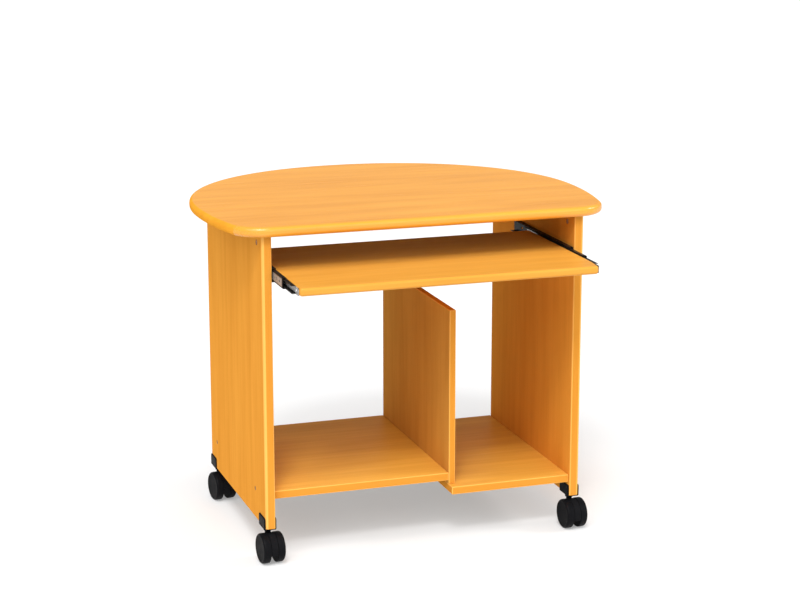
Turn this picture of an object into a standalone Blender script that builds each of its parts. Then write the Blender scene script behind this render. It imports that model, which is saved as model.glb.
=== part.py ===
"""Mobile computer desk: a D-shaped top on two side panels, a low shelf, a computer bay, a keyboard
tray on ball-bearing slides and four twin-wheel casters. Metres, X across, +Y to the back, +Z up.
The origin is on the floor, in the middle of the desk's length with the tray drawn out."""

import math

import bmesh
import bpy
from mathutils import Matrix, Vector

# Gap between pieces that touch, and the ease on a board's sharp edges
FIT = 0.0003
EDGE_EASE = 0.001

# Desktop
DESK_HEIGHT = 0.750
TOP_THICK = 0.022
TOP_SIDE_OVERHANG = 0.084
TOP_FRONT_OVERHANG = 0.020
TOP_BACK_OVERHANG = 0.187
TOP_BACK_FULLNESS = 2.08
TOP_CORNER_RADIUS = 0.080
TOP_SIDE_RADIUS = 0.900
TOP_RIM_RADIUS = 0.009

# Carcass boards
FRAME_WIDTH = 0.736
FRAME_DEPTH = 0.504
SIDE_THICK = 0.022
SIDE_BOTTOM = 0.078
SHELF_THICK = 0.018
CPU_SHELF_RISE = 0.031
CPU_SHELF_SETBACK = 0.007
SHELF_STEP = 0.027
PARTITION_THICK = 0.015
PARTITION_HEIGHT = 0.401
PARTITION_SETBACK = 0.029
CPU_BAY_WIDTH = 0.267
RAIL_HEIGHT = 0.100
RAIL_THICK = 0.016
RAIL_SETBACK = 0.010

# Keyboard tray and its slides
TRAY_DEPTH = 0.403
TRAY_THICK = 0.018
TRAY_RIM_RADIUS = 0.006
TRAY_CORNER_RADIUS = 0.008
TRAY_OUT = 0.168
KEYBOARD_GAP = 0.077
SLIDE_LENGTH = 0.350
SLIDE_SETBACK = 0.006
SLIDE_WIDTH = 0.0127
SLIDE_SHEET = 0.0012
SLIDE_LIP = 0.0008
OUTER_HEIGHT = 0.0300
MIDDLE_HEIGHT = 0.0235
INNER_HEIGHT = 0.0170
MIDDLE_SHORTER = 0.006
BUFFER_LENGTH = 0.008
CAGE_LENGTH = 0.160
CAGE_SHEET = 0.0004
BALLS_IN_ROW = 4
BALL_PLAY = 0.0002
TONGUE_LENGTH = 0.022
WEB_HOLE_RADIUS = 0.0022
WEB_HOLE_SHARES = {"outer": (0.10, 0.50, 0.86), "middle": (0.05, 0.46), "inner": (0.05, 0.26, 0.70)}

# Casters
WHEEL_RADIUS = 0.0335
WHEEL_WIDTH = 0.017
WHEEL_EDGE = 0.002
WHEEL_RIM = 0.006
WHEEL_DISH = 0.0012
WHEEL_GAP = 0.0006
HOOD_WIDTH = 0.015
HOOD_INSET = 0.0006
HOOD_OPENING = 0.0225
CASTER_TRAIL = 0.018
CASTER_INSET = 0.028
NECK_RADIUS = 0.0065
COLLAR_RADIUS = 0.0090
KINGPIN_RADIUS = 0.0040
KINGPIN_HEAD_RADIUS = 0.0065
KINGPIN_HEAD = 0.0012
KINGPIN_REACH = 0.030
AXLE_RADIUS = 0.0025
AXLE_IN_WHEEL = 0.010
CLIP_LENGTH = 0.050
CLIP_HEIGHT = 0.024
CLIP_CHEEK = 0.0025
CLIP_BASE = 0.003
CLIP_EASE = 0.0008
CASTER_TURNS = {"front_left": 4.0, "front_right": 2.0, "rear_left": 8.0, "rear_right": -6.0}

# Fasteners
SCREW_HEAD_RADIUS = 0.0050
SCREW_HEAD = 0.0030
SCREW_RADIUS = 0.0030
SCREW_LENGTH = 0.050
SCREW_INSET = 0.060
FOOT_SCREW_INSET = 0.130
CAM_RADIUS = 0.0050
CAM_INSET = 0.042
CAM_DROP = 0.020
STUD_RADIUS = 0.0030
STUD_BITE = 0.012

# Facets
WHEEL_STEPS = 24
ROD_STEPS = 12
BALL_STEPS = 8
CORNER_STEPS = 6
SIDE_STEPS = 4
BACK_STEPS = 18
HOOD_STEPS = 20

# Places worked out from the sizes above
frame_front = (max(TRAY_OUT, TOP_FRONT_OVERHANG) - FRAME_DEPTH - TOP_BACK_OVERHANG) / 2
frame_back = frame_front + FRAME_DEPTH
frame_middle = (frame_front + frame_back) / 2
top_front = frame_front - TOP_FRONT_OVERHANG
top_back = frame_back + TOP_BACK_OVERHANG
side_top = DESK_HEIGHT - TOP_THICK - FIT
outer_face = FRAME_WIDTH / 2
inner_face = outer_face - SIDE_THICK
partition_right = inner_face - CPU_BAY_WIDTH
partition_left = partition_right - PARTITION_THICK
cpu_shelf_bottom = SIDE_BOTTOM + CPU_SHELF_RISE
cpu_shelf_top = cpu_shelf_bottom + SHELF_THICK
left_shelf_top = cpu_shelf_top + SHELF_STEP
partition_bottom = cpu_shelf_top + FIT
partition_front = frame_front + PARTITION_SETBACK
rail_back = frame_back - RAIL_SETBACK
rail_front = rail_back - RAIL_THICK
tray_top = side_top - KEYBOARD_GAP
tray_front = frame_front - TRAY_OUT
slide_level = tray_top - TRAY_THICK / 2
slide_front = frame_front + SLIDE_SETBACK
slide_face = inner_face - FIT
tray_edge = slide_face - SLIDE_WIDTH - FIT

for old in list(bpy.data.objects):
    bpy.data.objects.remove(old, do_unlink=True)
desk = bpy.data.collections.new("mobile_computer_desk")
cutters = bpy.data.collections.new("cutters")
bpy.context.scene.collection.children.link(desk)
bpy.context.scene.collection.children.link(cutters)


def finish(name, colour, roughness, metallic):
    """A plain Principled material."""
    material = bpy.data.materials.new(name)
    material.use_nodes = True
    shader = material.node_tree.nodes["Principled BSDF"]
    shader.inputs["Base Color"].default_value = (*colour, 1.0)
    shader.inputs["Roughness"].default_value = roughness
    shader.inputs["Metallic"].default_value = metallic
    return material


beech_top = finish("beech_top", (0.86, 0.46, 0.13), 0.35, 0.0)
beech_side = finish("beech_side", (0.75, 0.34, 0.06), 0.40, 0.0)
beech_shelf = finish("beech_shelf", (0.78, 0.37, 0.07), 0.40, 0.0)
black_steel = finish("black_steel", (0.02, 0.02, 0.02), 0.35, 0.6)
zinc_steel = finish("zinc_steel", (0.62, 0.61, 0.58), 0.30, 1.0)
black_plastic = finish("black_plastic", (0.015, 0.015, 0.016), 0.45, 0.0)


def add_part(name, bm, material, place=(0, 0, 0), parent=None):
    """An object of the desk from a bmesh, placed in its parent's frame."""
    mesh = bpy.data.meshes.new(name)
    bm.to_mesh(mesh)
    bm.free()
    mesh.materials.append(material)
    obj = bpy.data.objects.new(name, mesh)
    obj.location = place
    obj.parent = parent
    desk.objects.link(obj)
    return obj


def add_empty(name, place, turn=0.0):
    """The axis that a moving body hangs on."""
    empty = bpy.data.objects.new(name, None)
    empty.location = place
    empty.rotation_euler.z = math.radians(turn)
    empty.empty_display_size = 0.03
    desk.objects.link(empty)
    return empty


def ease(obj, width, segments):
    """Round the sharp edges of a piece."""
    bevel = obj.modifiers.new("eased_edges", "BEVEL")
    bevel.width = width
    bevel.segments = segments
    bevel.limit_method = "ANGLE"
    bevel.angle_limit = math.radians(50)


def round_off(obj):
    """Shade a turned piece smooth, but for its corners."""
    obj.data.shade_smooth()
    obj.data.set_sharp_from_angle(angle=math.radians(40))


def combine(obj, bm, operation, label):
    """Cut a shape from a piece, or join it on; the shape is in the piece's parent frame."""
    name = f"{obj.name}_{label}"
    mesh = bpy.data.meshes.new(name)
    bm.to_mesh(mesh)
    bm.free()
    tool = bpy.data.objects.new(name, mesh)
    tool.parent = obj.parent
    tool.hide_render = True
    tool.display_type = "WIRE"
    cutters.objects.link(tool)
    boolean = obj.modifiers.new(label, "BOOLEAN")
    boolean.operation = operation
    boolean.object = tool


def add_turned(bm, profile, place, direction, steps=ROD_STEPS):
    """Spin a profile of (radius, distance) points about an axis, into a bmesh that may hold others."""
    shape = bmesh.new()
    points = [shape.verts.new((radius, 0, distance)) for radius, distance in profile]
    edges = [shape.edges.new(pair) for pair in zip(points, points[1:])]
    bmesh.ops.spin(
        shape,
        geom=points + edges,
        cent=(0, 0, 0),
        axis=(0, 0, 1),
        angle=math.tau,
        steps=steps,
        use_merge=True,
    )
    bmesh.ops.remove_doubles(shape, verts=shape.verts, dist=1e-6)
    bmesh.ops.recalc_face_normals(shape, faces=shape.faces)
    turn = Vector((0, 0, 1)).rotation_difference(Vector(direction)).to_matrix().to_4x4()
    bmesh.ops.transform(shape, matrix=Matrix.Translation(place) @ turn, verts=shape.verts)
    mesh = bpy.data.meshes.new("turned")
    shape.to_mesh(mesh)
    shape.free()
    bm.from_mesh(mesh)
    bpy.data.meshes.remove(mesh)


def rod(radius, length):
    """Profile of a plain rod that starts at its place and runs along its direction."""
    return [(0, 0), (radius, 0), (radius, length), (0, length)]


def turned(places, profile):
    """Turned shapes of one profile, in one bmesh; each place is (point, direction)."""
    bm = bmesh.new()
    for point, direction in places:
        add_turned(bm, profile, point, direction)
    return bm


def rods(places, radius, length):
    """Rods of one size, in one bmesh."""
    return turned(places, rod(radius, length))


def screw_profile(slack=0.0, proud=0.0):
    """A shelf screw from its head's face inwards; slack grows it to its hole, which starts proud."""
    return [
        (0, -proud),
        (SCREW_HEAD_RADIUS + slack, -proud),
        (SCREW_HEAD_RADIUS + slack, SCREW_HEAD + slack),
        (SCREW_RADIUS + slack, SCREW_HEAD + slack),
        (SCREW_RADIUS + slack, SCREW_LENGTH + slack),
        (0, SCREW_LENGTH + slack),
    ]


def outline_plate(outline, thickness):
    """A flat outline in XY, thickened along Z about its middle."""
    curve = bpy.data.curves.new("outline", "CURVE")
    curve.dimensions = "2D"
    curve.fill_mode = "BOTH"
    curve.extrude = thickness / 2
    spline = curve.splines.new("POLY")
    spline.points.add(len(outline) - 1)
    for point, (x, y) in zip(spline.points, outline):
        point.co = (x, y, 0, 1)
    spline.use_cyclic_u = True
    guide = bpy.data.objects.new("outline", curve)
    cutters.objects.link(guide)
    graph = bpy.context.evaluated_depsgraph_get()
    mesh = bpy.data.meshes.new_from_object(guide.evaluated_get(graph))
    bpy.data.objects.remove(guide)
    bm = bmesh.new()
    bm.from_mesh(mesh)
    bpy.data.meshes.remove(mesh)
    bmesh.ops.remove_doubles(bm, verts=bm.verts, dist=1e-6)
    bmesh.ops.dissolve_limit(bm, angle_limit=math.radians(1), verts=bm.verts, edges=bm.edges)
    bmesh.ops.recalc_face_normals(bm, faces=bm.faces)
    return bm


def stand(bm, across, up, along):
    """Turn an outline plate: its X, Y and thickness go along these three directions."""
    turn = Matrix((across, up, along)).transposed().to_4x4()
    bmesh.ops.transform(bm, matrix=turn, verts=bm.verts)
    bmesh.ops.recalc_face_normals(bm, faces=bm.faces)


def arc(centre, radius, start, end, steps):
    """Points along an arc, with angles in radians."""
    angles = [start + (end - start) * step / steps for step in range(steps + 1)]
    return [(centre[0] + radius * math.cos(a), centre[1] + radius * math.sin(a)) for a in angles]


def block(low, high):
    """A box between two corners, about its own middle, and that middle."""
    low, high = Vector(low), Vector(high)
    bm = bmesh.new()
    bmesh.ops.create_cube(bm, size=1.0)
    bmesh.ops.scale(bm, vec=high - low, verts=bm.verts)
    return bm, (low + high) / 2


def add_board(name, low, high, material):
    """A flat board between two corners, with eased edges."""
    bm, middle = block(low, high)
    obj = add_part(name, bm, material, middle)
    ease(obj, EDGE_EASE, 1)
    return obj


# The desktop: the back is half of a full oval as wide as the board, the sides bow in a little towards
# the front, and round corners run into the straight front edge.
def desktop_outline():
    half_width = outer_face + TOP_SIDE_OVERHANG
    half_depth = top_back - frame_middle
    side_centre = (half_width - TOP_SIDE_RADIUS, frame_middle)
    corner_y = top_front + TOP_CORNER_RADIUS
    reach = TOP_SIDE_RADIUS - TOP_CORNER_RADIUS
    corner_x = side_centre[0] + math.sqrt(reach**2 - (corner_y - frame_middle) ** 2)
    meet = math.atan2(corner_y - frame_middle, corner_x - side_centre[0])
    right = arc((corner_x, corner_y), TOP_CORNER_RADIUS, -math.pi / 2, meet, CORNER_STEPS)
    right += arc(side_centre, TOP_SIDE_RADIUS, meet, 0, SIDE_STEPS)[1:]
    for step in range(1, BACK_STEPS):
        angle = math.pi / 2 * step / BACK_STEPS
        across = half_width * math.cos(angle) ** (2 / TOP_BACK_FULLNESS)
        back = half_depth * math.sin(angle) ** (2 / TOP_BACK_FULLNESS)
        right.append((across, frame_middle + back))
    left = [(-x, y) for x, y in reversed(right)]
    return right + [(0, top_back)] + left


desktop = add_part(
    "desktop",
    outline_plate(desktop_outline(), TOP_THICK),
    beech_top,
    (0, 0, DESK_HEIGHT - TOP_THICK / 2),
)
ease(desktop, TOP_RIM_RADIUS, 3)

# The carcass: two side panels, the left shelf, the lower computer shelf, the partition that stands
# on that shelf, and a rail under the back of the top.
side_panels = {}
for side, sign in (("left", -1), ("right", 1)):
    ends = sorted((sign * inner_face, sign * outer_face))
    side_panels[sign] = add_board(
        f"{side}_side_panel",
        (ends[0], frame_front, SIDE_BOTTOM),
        (ends[1], frame_back, side_top),
        beech_side,
    )
left_shelf = add_board(
    "left_shelf",
    (-inner_face + FIT, partition_front, left_shelf_top - SHELF_THICK),
    (partition_left - FIT, frame_back, left_shelf_top),
    beech_shelf,
)
cpu_shelf = add_board(
    "cpu_shelf",
    (partition_left, frame_front + CPU_SHELF_SETBACK, cpu_shelf_bottom),
    (inner_face - FIT, frame_back, cpu_shelf_top),
    beech_shelf,
)
partition = add_board(
    "partition",
    (partition_left, partition_front, partition_bottom),
    (partition_right, frame_back, partition_bottom + PARTITION_HEIGHT),
    beech_side,
)
add_board(
    "back_rail",
    (-inner_face + FIT, rail_front, side_top - RAIL_HEIGHT),
    (inner_face - FIT, rail_back, side_top),
    beech_shelf,
)

# Shelf screws: through the side panels and the partition into the shelf ends, and up through the
# computer shelf into the partition.
left_shelf_rows = (partition_front + SCREW_INSET, frame_back - SCREW_INSET)
cpu_shelf_rows = (frame_front + CPU_SHELF_SETBACK + SCREW_INSET, frame_back - SCREW_INSET)
partition_rows = (partition_front + FOOT_SCREW_INSET, frame_back - FOOT_SCREW_INSET)
left_shelf_level = left_shelf_top - SHELF_THICK / 2
cpu_shelf_level = cpu_shelf_top - SHELF_THICK / 2
partition_middle = (partition_left + partition_right) / 2
left_end = [((-outer_face + FIT, y, left_shelf_level), (1, 0, 0)) for y in left_shelf_rows]
right_end = [((outer_face - FIT, y, cpu_shelf_level), (-1, 0, 0)) for y in cpu_shelf_rows]
through_partition = [
    ((partition_right - FIT, y, left_shelf_level), (-1, 0, 0)) for y in left_shelf_rows
]
up_partition = [((partition_middle, y, cpu_shelf_bottom + FIT), (0, 0, 1)) for y in partition_rows]
for joint, places in (
    ("left_panel", left_end),
    ("right_panel", right_end),
    ("partition", through_partition),
    ("cpu_shelf", up_partition),
):
    for end, place in zip(("front", "rear"), places):
        round_off(add_part(f"{joint}_screw_{end}", turned([place], screw_profile()), zinc_steel))
shelf_screw_hole = screw_profile(slack=FIT, proud=2 * FIT)
for board, places in (
    (side_panels[-1], left_end),
    (side_panels[1], right_end),
    (left_shelf, left_end + through_partition),
    (cpu_shelf, right_end + up_partition),
    (partition, through_partition + up_partition),
):
    combine(board, turned(places, shelf_screw_hole), "DIFFERENCE", "shelf_screw_holes")

# Cam locks: a barrel through the side panel near each top corner, and a stud that it draws down
# out of the desktop's underside.
cam_level = side_top - CAM_DROP
cam_rows = (frame_front + CAM_INSET, frame_back - CAM_INSET)
side_middle = (outer_face + inner_face) / 2
stud_length = CAM_DROP + FIT + STUD_BITE
stud_hole = rod(STUD_RADIUS + FIT, stud_length + 2 * FIT)
cam_hole = rod(CAM_RADIUS + FIT, SIDE_THICK + 2 * FIT)
up = (0, 0, 1)
all_stud_holes = []
for side, sign in (("left", -1), ("right", 1)):
    outward = (sign, 0, 0)
    stud_holes = [((sign * side_middle, y, cam_level - FIT), up) for y in cam_rows]
    cam_holes = [((sign * (inner_face - FIT), y, cam_level), outward) for y in cam_rows]
    panel = side_panels[sign]
    combine(panel, turned(cam_holes, cam_hole), "DIFFERENCE", "cam_holes")
    combine(panel, turned(stud_holes, stud_hole), "DIFFERENCE", "stud_holes")
    all_stud_holes += stud_holes
    for end, y, hole in zip(("front", "rear"), cam_rows, stud_holes):
        barrel = rods([((sign * inner_face, y, cam_level), outward)], CAM_RADIUS, SIDE_THICK)
        cam = add_part(f"{end}_{side}_cam_barrel", barrel, zinc_steel)
        combine(cam, turned([hole], stud_hole), "DIFFERENCE", "stud_hole")
        stud = rods([((sign * side_middle, y, cam_level), up)], STUD_RADIUS, stud_length)
        round_off(add_part(f"{end}_{side}_cam_stud", stud, zinc_steel))
combine(desktop, turned(all_stud_holes, stud_hole), "DIFFERENCE", "stud_holes")

# The keyboard tray, drawn out on its travel axis, with a soft-formed front edge.
tray_travel = add_empty("tray_travel", (0, tray_front, slide_level))


def keyboard_tray_shape():
    bm, middle = block((-tray_edge, 0, -TRAY_THICK / 2), (tray_edge, TRAY_DEPTH, TRAY_THICK / 2))
    bmesh.ops.translate(bm, vec=middle, verts=bm.verts)
    corners = [e for e in bm.edges if all(v.co.y < TRAY_RIM_RADIUS for v in e.verts)]
    posts = [e for e in corners if abs(e.verts[0].co.x - e.verts[1].co.x) < FIT]
    bmesh.ops.bevel(
        bm, geom=posts, offset=TRAY_CORNER_RADIUS, segments=3, profile=0.5, affect="EDGES"
    )
    rim = [
        e
        for e in bm.edges
        if all(v.co.y < TRAY_CORNER_RADIUS - FIT or abs(v.co.x) < tray_edge - FIT for v in e.verts)
        and abs(e.verts[0].co.z - e.verts[1].co.z) < FIT
        and min(v.co.y for v in e.verts) < TRAY_CORNER_RADIUS
    ]
    bmesh.ops.bevel(bm, geom=rim, offset=TRAY_RIM_RADIUS, segments=3, profile=0.5, affect="EDGES")
    return bm


keyboard_tray = add_part("keyboard_tray", keyboard_tray_shape(), beech_shelf, parent=tray_travel)
ease(keyboard_tray, EDGE_EASE, 1)

# The slides, from the panel inwards: outer channel, ball cage, middle channel, ball cage, and the
# inner channel, which opens the other way and is screwed to the tray's edge.
middle_web = SLIDE_SHEET + CAGE_SHEET + 2 * FIT
inner_cage_web = middle_web + SLIDE_SHEET + FIT
inner_open = inner_cage_web + CAGE_SHEET + FIT
inner_web = SLIDE_WIDTH - SLIDE_SHEET
middle_open = inner_web - 2 * FIT
outer_open = middle_open - 2 * FIT
middle_length = SLIDE_LENGTH - MIDDLE_SHORTER - BUFFER_LENGTH - FIT
outer_race = (OUTER_HEIGHT / 2 - SLIDE_SHEET + MIDDLE_HEIGHT / 2) / 2
inner_race = (MIDDLE_HEIGHT / 2 - SLIDE_SHEET + INNER_HEIGHT / 2) / 2
outer_ball = (OUTER_HEIGHT / 2 - SLIDE_SHEET - MIDDLE_HEIGHT / 2) / 2 - BALL_PLAY
inner_ball = (MIDDLE_HEIGHT / 2 - SLIDE_SHEET - INNER_HEIGHT / 2) / 2 - BALL_PLAY


def channel(web, opening, height, sheet, lip=0.0):
    """C-shaped section: the web's outer face, the flanges' open end, and lips turned in there."""
    way = math.copysign(1, opening - web)
    half = height / 2
    upper = [(web + way * sheet, half - sheet)]
    if lip:
        upper += [(opening - way * sheet, half - sheet), (opening - way * sheet, half - sheet - lip)]
        upper += [(opening, half - sheet - lip)]
    else:
        upper += [(opening, half - sheet)]
    upper += [(opening, half), (web, half)]
    return upper + [(s, -t) for s, t in reversed(upper)]


def add_channel(name, section, sign, front, length, material, parent=None):
    """A rolled section along Y, from its front end, on the left or right panel's inner face."""
    bm = outline_plate(section, length)
    stand(bm, (-sign, 0, 0), (0, 0, 1), (0, 1, 0))
    base = parent.location if parent else Vector((0, 0, 0))
    place = Vector((sign * slide_face, front + length / 2, slide_level)) - base
    return add_part(name, bm, material, place, parent)


def drill_web(obj, member, sign, front, length):
    """Round holes through a channel's web, at shares of its length from its front end."""
    base = obj.parent.location if obj.parent else Vector((0, 0, 0))
    places = []
    for share in WEB_HOLE_SHARES[member]:
        start = Vector((sign * (slide_face + FIT), front + share * length, slide_level)) - base
        places.append((start, (-sign, 0, 0)))
    holes = rods(places, WEB_HOLE_RADIUS, SLIDE_WIDTH + 2 * FIT)
    combine(obj, holes, "DIFFERENCE", "web_holes")


def cut_tongue(obj, sign, front):
    """Trim the inner channel's flanges back from its front end, which leaves a tongue of its web."""
    ends = sorted(sign * (slide_face - depth) for depth in (0, inner_web + FIT))
    low = Vector((ends[0], front - FIT, slide_level - INNER_HEIGHT))
    high = Vector((ends[1], front + TONGUE_LENGTH, slide_level + INNER_HEIGHT))
    bm, middle = block(low, high)
    bmesh.ops.translate(bm, vec=middle - obj.parent.location, verts=bm.verts)
    combine(obj, bm, "DIFFERENCE", "tongue")


def ball_row(sign, centre, depth, race, radius):
    """Two rows of balls, above and below a slide's middle."""
    bm = bmesh.new()
    for index in range(BALLS_IN_ROW):
        along = (index - (BALLS_IN_ROW - 1) / 2) * CAGE_LENGTH / BALLS_IN_ROW
        for level in (-race, race):
            ball = bmesh.ops.create_uvsphere(
                bm, u_segments=BALL_STEPS, v_segments=BALL_STEPS - 2, radius=radius
            )
            place = (sign * (slide_face - depth), centre + along, slide_level + level)
            bmesh.ops.translate(bm, vec=place, verts=ball["verts"])
    return bm


for side, sign in (("left", -1), ("right", 1)):
    inner_front = slide_front - TRAY_OUT
    middle_front = slide_front + MIDDLE_SHORTER / 2 - TRAY_OUT / 2
    cage_middle = slide_front + SLIDE_LENGTH / 2
    outer_section = channel(0, outer_open, OUTER_HEIGHT, SLIDE_SHEET, SLIDE_LIP)
    middle_section = channel(middle_web, middle_open, MIDDLE_HEIGHT, SLIDE_SHEET, SLIDE_LIP)
    middle_start = middle_front + BUFFER_LENGTH + FIT
    inner_section = channel(SLIDE_WIDTH, inner_open, INNER_HEIGHT, SLIDE_SHEET)
    travel = add_empty(f"{side}_middle_travel", (0, middle_front, slide_level))
    name = f"{side}_slide"
    outer = add_channel(f"{name}_outer", outer_section, sign, slide_front, SLIDE_LENGTH, black_steel)
    drill_web(outer, "outer", sign, slide_front, SLIDE_LENGTH)
    add_channel(
        f"{name}_buffer", middle_section, sign, middle_front, BUFFER_LENGTH, black_plastic, travel
    )
    middle = add_channel(
        f"{name}_middle", middle_section, sign, middle_start, middle_length, zinc_steel, travel
    )
    drill_web(middle, "middle", sign, middle_start, middle_length)
    inner = add_channel(
        f"{name}_inner", inner_section, sign, inner_front, SLIDE_LENGTH, zinc_steel, tray_travel
    )
    cut_tongue(inner, sign, inner_front)
    drill_web(inner, "inner", sign, inner_front, SLIDE_LENGTH)
    for label, web, opening, race, ball, share in (
        ("outer", SLIDE_SHEET + FIT, outer_open - SLIDE_SHEET - FIT, outer_race, outer_ball, 0.25),
        ("inner", inner_cage_web, middle_open - SLIDE_SHEET - FIT, inner_race, inner_ball, 0.75),
    ):
        centre = cage_middle - share * TRAY_OUT
        section = channel(web, opening, 2 * race + CAGE_SHEET, CAGE_SHEET)
        cage_front = centre - CAGE_LENGTH / 2
        cage = add_channel(
            f"{side}_{label}_ball_cage", section, sign, cage_front, CAGE_LENGTH, zinc_steel
        )
        combine(cage, ball_row(sign, centre, (web + opening) / 2, race, ball), "UNION", "balls")

# The casters: a clip grips the panel's bottom edge and holds the kingpin; the hood swivels on the
# kingpin and carries the axle of its two wheels, which trail behind it.
clip_top = SIDE_BOTTOM - FIT
clip_bottom = clip_top - CLIP_BASE
hood_top = clip_bottom - FIT
wheel_centre = HOOD_WIDTH / 2 + WHEEL_GAP
kingpin_foot = hood_top - KINGPIN_REACH
axle_half = wheel_centre + AXLE_IN_WHEEL - FIT


def clip_shape():
    """A U that stands round the panel's bottom edge, about the kingpin's axis."""
    gap = SIDE_THICK / 2 + FIT
    wide = gap + CLIP_CHEEK
    rise = SIDE_BOTTOM + CLIP_HEIGHT
    right = [(wide, clip_bottom), (wide, rise), (gap, rise), (gap, clip_top)]
    bm = outline_plate(right + [(-x, z) for x, z in reversed(right)], CLIP_LENGTH)
    stand(bm, (1, 0, 0), (0, 0, 1), (0, 1, 0))
    return bm


def hood_shape():
    """A slice between the wheels, round as their treads and open at the floor."""
    radius = WHEEL_RADIUS - HOOD_INSET
    start = math.asin((HOOD_OPENING - WHEEL_RADIUS) / radius)
    outline = arc((-CASTER_TRAIL, WHEEL_RADIUS), radius, start, math.pi - start, HOOD_STEPS)
    bm = outline_plate(outline, HOOD_WIDTH)
    stand(bm, (0, 1, 0), (0, 0, 1), (1, 0, 0))
    return bm


def neck_shape():
    """The socket that rises out of the hood to the clip, with a collar above the wheels."""
    shoulder = 2 * WHEEL_RADIUS + WHEEL_GAP
    profile = [
        (0, WHEEL_RADIUS),
        (NECK_RADIUS, WHEEL_RADIUS),
        (NECK_RADIUS, shoulder),
        (COLLAR_RADIUS, shoulder),
        (COLLAR_RADIUS, hood_top),
        (0, hood_top),
    ]
    bm = bmesh.new()
    add_turned(bm, profile, (0, 0, 0), (0, 0, 1), 2 * ROD_STEPS)
    return bm


def kingpin_profile(slack, foot, head_top):
    """The kingpin from its riveted head down; slack grows it to its bore."""
    neck = clip_top - KINGPIN_HEAD - FIT - slack
    return [
        (0, head_top),
        (KINGPIN_HEAD_RADIUS + slack, head_top),
        (KINGPIN_HEAD_RADIUS + slack, neck),
        (KINGPIN_RADIUS + slack, neck),
        (KINGPIN_RADIUS + slack, foot),
        (0, foot),
    ]


def wheel_profile():
    """Half section of a wheel from the middle of its outer face, round the tread, to the axle's bore."""
    bore = AXLE_RADIUS + FIT
    dish = WHEEL_RADIUS - WHEEL_EDGE - WHEEL_RIM
    return [
        (0, WHEEL_WIDTH - WHEEL_DISH),
        (dish, WHEEL_WIDTH - WHEEL_DISH),
        (dish + WHEEL_DISH, WHEEL_WIDTH),
        (WHEEL_RADIUS - WHEEL_EDGE, WHEEL_WIDTH),
        (WHEEL_RADIUS, WHEEL_WIDTH - WHEEL_EDGE),
        (WHEEL_RADIUS, WHEEL_EDGE),
        (WHEEL_RADIUS - WHEEL_EDGE, 0),
        (bore, 0),
        (bore, AXLE_IN_WHEEL),
        (0, AXLE_IN_WHEEL),
    ]


def add_turned_part(name, profile, material, place, turn, parent, steps):
    """A profile, listed from the top down, turned about its own Z by a Screw modifier."""
    bm = bmesh.new()
    points = [bm.verts.new((radius, 0, height)) for radius, height in profile]
    for pair in zip(points, points[1:]):
        bm.edges.new(pair)
    obj = add_part(name, bm, material, place, parent)
    obj.rotation_euler = turn
    screw = obj.modifiers.new("turned", "SCREW")
    screw.axis = "Z"
    screw.steps = steps
    screw.render_steps = steps
    screw.use_merge_vertices = True
    screw.merge_threshold = 1e-6
    obj.modifiers.new("smooth_shading", "WEIGHTED_NORMAL")


for corner, degrees in CASTER_TURNS.items():
    x = math.copysign(side_middle, 1 if corner.endswith("right") else -1)
    y = frame_front + CASTER_INSET if corner.startswith("front") else frame_back - CASTER_INSET
    name = f"{corner}_caster"
    mount = add_empty(f"{name}_mount", (x, y, 0))
    swivel = add_empty(f"{name}_swivel", (x, y, 0), degrees)
    upright = (0, 0, 0)
    sideways = (0, math.pi / 2, 0)
    other_way = (0, -math.pi / 2, 0)

    clip = add_part(f"{name}_clip", clip_shape(), black_plastic, parent=mount)
    ease(clip, CLIP_EASE, 1)
    pin_hole = kingpin_profile(FIT, clip_bottom - FIT, clip_top + FIT)
    combine(clip, turned([((0, 0, 0), (0, 0, 1))], pin_hole), "DIFFERENCE", "kingpin_hole")
    pin = kingpin_profile(0, kingpin_foot, clip_top - FIT)
    add_turned_part(f"{name}_kingpin", pin, zinc_steel, (0, 0, 0), upright, mount, ROD_STEPS)

    hood = add_part(f"{name}_hood", hood_shape(), black_plastic, parent=swivel)
    combine(hood, neck_shape(), "UNION", "neck")
    pin_place = [((0, 0, kingpin_foot - FIT), (0, 0, 1))]
    pin_bore = rods(pin_place, KINGPIN_RADIUS + FIT, KINGPIN_REACH + 2 * FIT)
    combine(hood, pin_bore, "DIFFERENCE", "kingpin_bore")
    axle_place = Vector((0, -CASTER_TRAIL, WHEEL_RADIUS))
    bore_place = [(axle_place - Vector((HOOD_WIDTH, 0, 0)), (1, 0, 0))]
    axle_bore = rods(bore_place, AXLE_RADIUS + FIT, 2 * HOOD_WIDTH)
    combine(hood, axle_bore, "DIFFERENCE", "axle_bore")
    axle = [(0, axle_half), (AXLE_RADIUS, axle_half), (AXLE_RADIUS, -axle_half), (0, -axle_half)]
    add_turned_part(f"{name}_axle", axle, zinc_steel, axle_place, sideways, swivel, ROD_STEPS)
    for side, way, turn in (("left", -1, other_way), ("right", 1, sideways)):
        place = axle_place + Vector((way * wheel_centre, 0, 0))
        add_turned_part(
            f"{name}_{side}_wheel", wheel_profile(), black_plastic, place, turn, swivel, WHEEL_STEPS
        )
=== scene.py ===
"""Looks of the mobile computer desk, built on its CAD frame: beech laminate boards, a round-backed
top, a keyboard tray on telescopic slides and black twin-wheel casters."""

import math

import bmesh
import bpy
from mathutils import Matrix, Vector


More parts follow.
